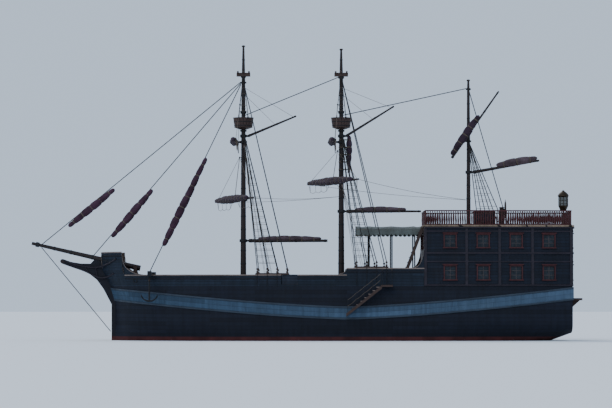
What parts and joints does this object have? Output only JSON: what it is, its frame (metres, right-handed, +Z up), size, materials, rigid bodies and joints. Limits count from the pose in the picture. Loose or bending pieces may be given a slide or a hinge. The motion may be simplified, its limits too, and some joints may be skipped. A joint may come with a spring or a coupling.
{
  "type": "three-masted excursion sailing ship",
  "caption": "Three-masted excursion sailing ship with a high stern castle, pale hull band, furled sails on yards, booms and gaffs, and an awning, afloat at its waterline.",
  "frame": {"origin": "amidships on the centreline at the waterline", "axes": "+X forward to the bow, +Y to port, +Z up"},
  "size_m": [33.5916, 9.3543, 20.52],
  "materials": {
    "hull_paint": "weathered satin near-black paint",
    "band_paint": "weathered blue-grey paint",
    "castle_paint": "dark painted planking",
    "dark_wood": "oiled dark timber",
    "red_wood": "dark red painted timber",
    "deck_wood": "weathered caulked planking",
    "spar_wood": "varnished dark spars",
    "furled_cloth": "maroon-brown sailcloth, rolled and lashed",
    "canvas": "grey-green awning canvas",
    "rigging_wire": "tarred dark cable",
    "iron": "black painted iron",
    "bronze": "aged bronze"
  },
  "bodies": {
    "ship": {"hull": "hull_paint", "keel": "hull_paint", "strake": "band_paint", "main_deck": "deck_wood", "fore_deck": "deck_wood", "bulwark_port": "castle_paint", "bulwark_starboard": "castle_paint", "quarter_wall_port": "castle_paint", "quarter_wall_starboard": "castle_paint", "transom": "castle_paint", "front_bulkhead": "dark_wood", "mid_deck": "deck_wood", "top_deck": "deck_wood", "poop_rail": "red_wood", "deck_house": "red_wood", "helm_stand": "dark_wood", "stern_lantern": "bronze", "stern_platform": "dark_wood", "hatch": "dark_wood", "ladder": "dark_wood", "anchor_port": "iron", "anchor_starboard": "iron", "bowsprit": "spar_wood", "awning_frame": "iron", "awning": "canvas", "fore_mast": "spar_wood", "main_mast": "spar_wood", "mizzen_mast": "spar_wood", "fore_rigging": "rigging_wire", "main_rigging": "rigging_wire", "mizzen_rigging": "rigging_wire", "jib_1": "furled_cloth", "jib_2": "furled_cloth", "jib_3": "furled_cloth"},
    "fore_lower_yard_body": {"fore_lower_yard": "spar_wood", "fore_lower_sail": "furled_cloth"},
    "fore_topsail_yard_body": {"fore_topsail_yard": "spar_wood", "fore_topsail_sail": "furled_cloth"},
    "main_lower_yard_body": {"main_lower_yard": "spar_wood", "main_lower_sail": "furled_cloth"},
    "main_topsail_yard_body": {"main_topsail_yard": "spar_wood", "main_topsail_sail": "furled_cloth"},
    "fore_boom_body": {"fore_boom": "spar_wood", "fore_boom_sail": "furled_cloth"},
    "main_boom_body": {"main_boom": "spar_wood", "main_boom_sail": "furled_cloth"},
    "mizzen_boom_body": {"mizzen_boom": "spar_wood", "mizzen_boom_sail": "furled_cloth"},
    "lateen_body": {"lateen_yard": "spar_wood", "lateen_sail": "furled_cloth"},
    "rudder_body": {"rudder": "hull_paint"},
    "helm_wheel_body": {"helm_wheel": "dark_wood"},
    "propeller_body": {"propeller": "bronze"},
    "door_port_body": {"door_port": "red_wood"},
    "door_starboard_body": {"door_starboard": "red_wood"},
    "gate_port_body": {"gate_port": "castle_paint"},
    "gate_starboard_body": {"gate_starboard": "castle_paint"},
    "fore_gaff_body": {"fore_gaff": "spar_wood"},
    "main_gaff_body": {"main_gaff": "spar_wood", "main_gaff_sail": "furled_cloth"}
  },
  "joints": [
    {"name": "fore_lower_yard_brace", "type": "hinge", "parent": "ship", "child": "fore_lower_yard_body", "pos_m": [5.64, 0, 8.6], "axis": [0, 0, 1], "range_deg": [-40, 10]},
    {"name": "fore_topsail_yard_brace", "type": "hinge", "parent": "ship", "child": "fore_topsail_yard_body", "pos_m": [5.64, 0, 12.15], "axis": [0, 0, 1], "range_deg": [-35, 35]},
    {"name": "main_lower_yard_brace", "type": "hinge", "parent": "ship", "child": "main_lower_yard_body", "pos_m": [-0.36, 0, 9.7], "axis": [0, 0, 1], "range_deg": [-43, 7]},
    {"name": "main_topsail_yard_brace", "type": "hinge", "parent": "ship", "child": "main_topsail_yard_body", "pos_m": [-0.36, 0, 12.15], "axis": [0, 0, 1], "range_deg": [-35, 35]},
    {"name": "fore_boom_swing", "type": "hinge", "parent": "ship", "child": "fore_boom_body", "pos_m": [5.64, 0, 6.1], "axis": [0, 0, 1], "range_deg": [-40, 40]},
    {"name": "main_boom_swing", "type": "hinge", "parent": "ship", "child": "main_boom_body", "pos_m": [-0.36, 0, 7.9], "axis": [0, 0, 1], "range_deg": [-40, 40]},
    {"name": "fore_gaff_swing", "type": "hinge", "parent": "ship", "child": "fore_gaff_body", "pos_m": [5.64, 0, 12.52], "axis": [0, 0, 1], "range_deg": [-30, 30]},
    {"name": "main_gaff_swing", "type": "hinge", "parent": "ship", "child": "main_gaff_body", "pos_m": [-0.36, 0, 12.52], "axis": [0, 0, 1], "range_deg": [-30, 30]},
    {"name": "mizzen_boom_swing", "type": "hinge", "parent": "ship", "child": "mizzen_boom_body", "pos_m": [-8.16, 0, 10.3], "axis": [0, 0, 1], "range_deg": [-35, 35]},
    {"name": "lateen_swing", "type": "hinge", "parent": "ship", "child": "lateen_body", "pos_m": [-8.16, 0, 12.9], "axis": [0, 0, 1], "range_deg": [-30, 30]},
    {"name": "rudder_turn", "type": "hinge", "parent": "ship", "child": "rudder_body", "pos_m": [-12.15, 0, -1], "axis": [0, 0, 1], "range_deg": [-35, 35]},
    {"name": "helm_turn", "type": "hinge", "parent": "ship", "child": "helm_wheel_body", "pos_m": [-10.42, 0, 8], "axis": [1, 0, 0], "range_deg": [-420, 420]},
    {"name": "propeller_spin", "type": "hinge", "parent": "ship", "child": "propeller_body", "pos_m": [-11.42, 0, -1.45], "axis": [1, 0, 0], "continuous": true},
    {"name": "door_port_swing", "type": "hinge", "parent": "ship", "child": "door_port_body", "pos_m": [-5.364, 1.637, 4], "axis": [0, 0, 1], "range_deg": [0, 100]},
    {"name": "door_starboard_swing", "type": "hinge", "parent": "ship", "child": "door_starboard_body", "pos_m": [-5.364, -1.637, 4], "axis": [0, 0, -1], "range_deg": [0, 100]},
    {"name": "gate_port_swing", "type": "hinge", "parent": "ship", "child": "gate_port_body", "pos_m": [3.265, 3.334, 3.7], "axis": [0, 0, 1], "range_deg": [0, 90]},
    {"name": "gate_starboard_swing", "type": "hinge", "parent": "ship", "child": "gate_starboard_body", "pos_m": [3.265, -3.334, 3.7], "axis": [0, 0, -1], "range_deg": [0, 90]}
  ],
  "couplings": [
    {"joint": "helm_turn", "follows": "rudder_turn", "ratio": 12}
  ]
}
